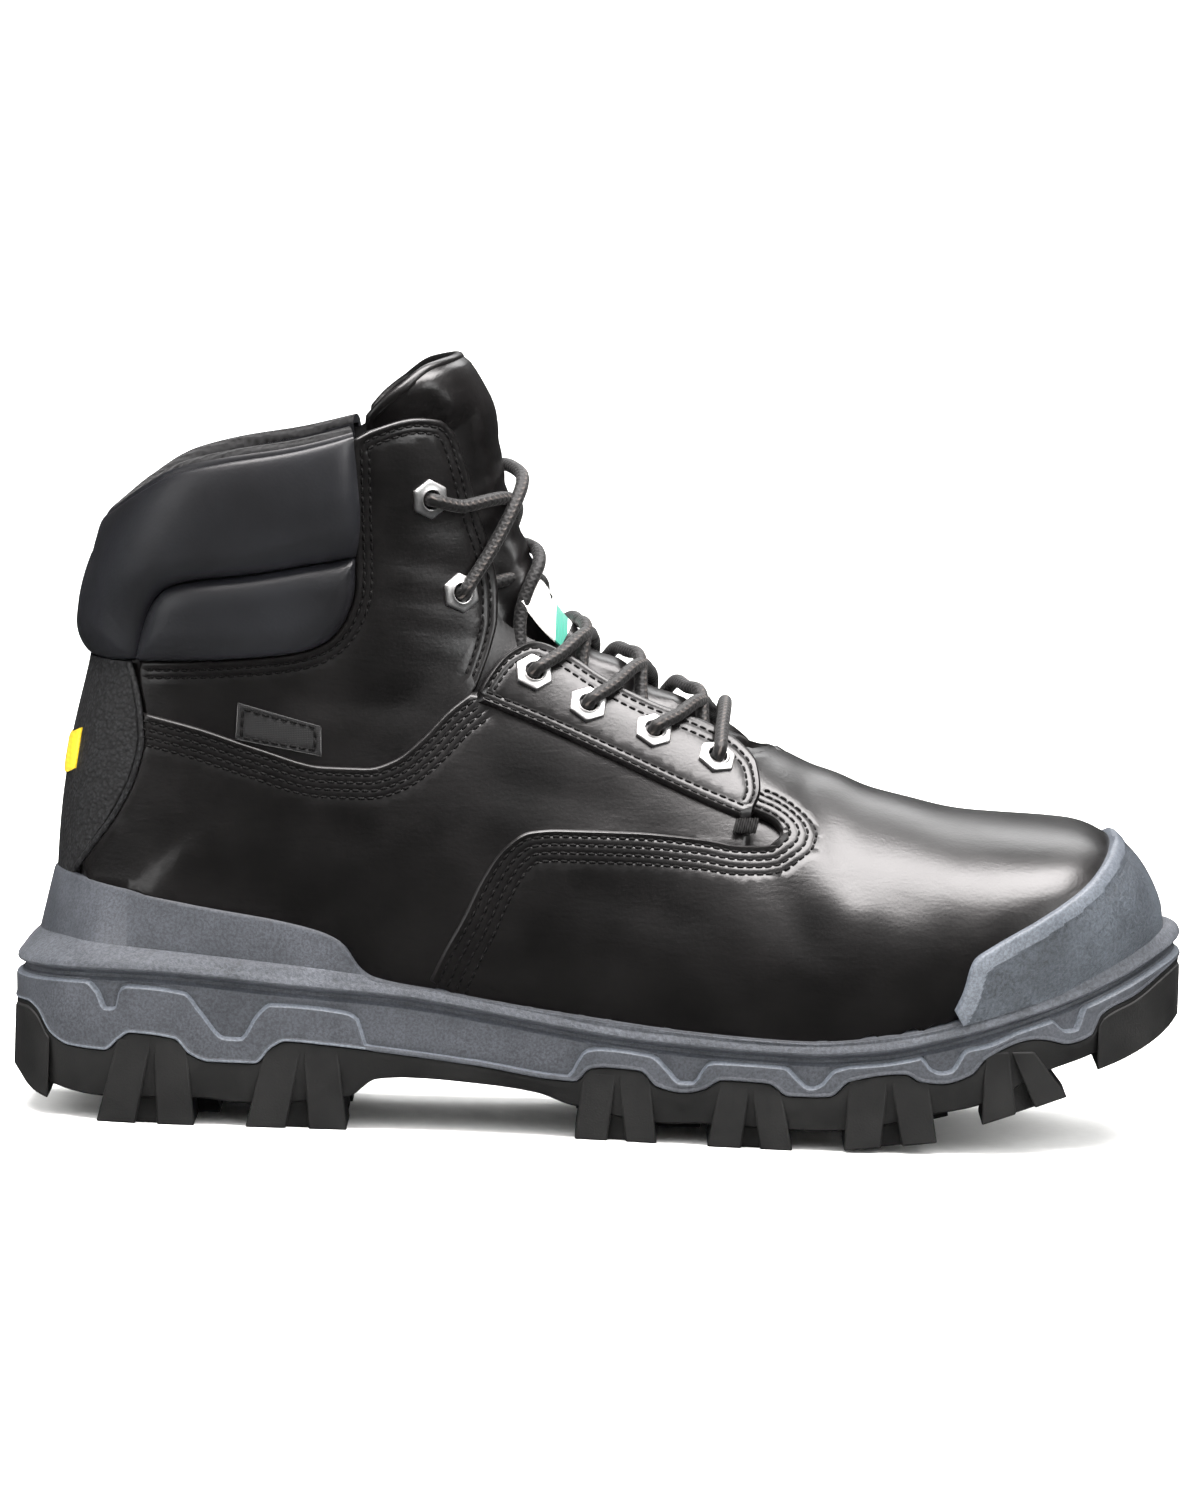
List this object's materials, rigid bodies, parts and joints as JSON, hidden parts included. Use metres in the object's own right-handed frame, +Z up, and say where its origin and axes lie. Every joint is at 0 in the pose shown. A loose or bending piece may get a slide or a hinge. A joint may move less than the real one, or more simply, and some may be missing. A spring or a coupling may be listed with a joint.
{
  "type": "metatarsal guard boot",
  "caption": "Right lace-up safety work boot with padded collar, moulded toe cap, grey cup midsole and lugged rubber outsole; hollow inside for a foot.",
  "frame": {"origin": "bottom centre of the boot's box, on the floor the lugs stand on", "axes": "+X towards the toe, +Z up, -Y the outer (lateral) side of this right boot"},
  "size_m": [0.311, 0.1168, 0.2039],
  "materials": {
    "black_rubber": "matt moulded nitrile rubber",
    "grey_polyurethane": "moulded expanded polyurethane, mottled grey",
    "grey_grained_rubber": "grained grey rubber toe cap",
    "footbed_cloth": "black brushed cloth over foam",
    "oiled_black_leather": "smooth oiled full-grain leather, satin",
    "black_textured_synthetic": "matt black textured synthetic sheet",
    "charcoal_synthetic_leather": "padded charcoal synthetic leather, satin",
    "black_webbing": "black woven tape",
    "yellow_reflective_cloth": "plain yellow cloth patch",
    "nickel_plated_brass": "bright nickel plate",
    "waxed_polyester_lace": "round braided lace, black with brown-grey flecks"
  },
  "bodies": {
    "root": {"outsole": "black_rubber", "midsole": "grey_polyurethane", "toe_cap": "grey_grained_rubber", "insole": "footbed_cloth", "upper": "oiled_black_leather", "vamp": "oiled_black_leather", "quarter_lateral": "oiled_black_leather", "quarter_medial": "oiled_black_leather", "eyestay_lateral": "oiled_black_leather", "eyestay_medial": "oiled_black_leather", "heel_panel": "black_textured_synthetic", "collar_pad": "charcoal_synthetic_leather", "tongue": "oiled_black_leather", "side_tag": "black_webbing", "heel_tab": "yellow_reflective_cloth", "eyelet_lateral_1": "nickel_plated_brass", "eyelet_lateral_2": "nickel_plated_brass", "eyelet_lateral_3": "nickel_plated_brass", "eyelet_lateral_4": "nickel_plated_brass", "eyelet_lateral_5": "nickel_plated_brass", "eyelet_lateral_6": "nickel_plated_brass", "eyelet_medial_1": "nickel_plated_brass", "eyelet_medial_2": "nickel_plated_brass", "eyelet_medial_3": "nickel_plated_brass", "eyelet_medial_4": "nickel_plated_brass", "eyelet_medial_5": "nickel_plated_brass", "eyelet_medial_6": "nickel_plated_brass", "lace_crossing_1": "waxed_polyester_lace", "lace_crossing_2": "waxed_polyester_lace", "lace_crossing_3": "waxed_polyester_lace", "lace_crossing_4": "waxed_polyester_lace", "lace_crossing_5": "waxed_polyester_lace"}
  },
  "joints": []
}
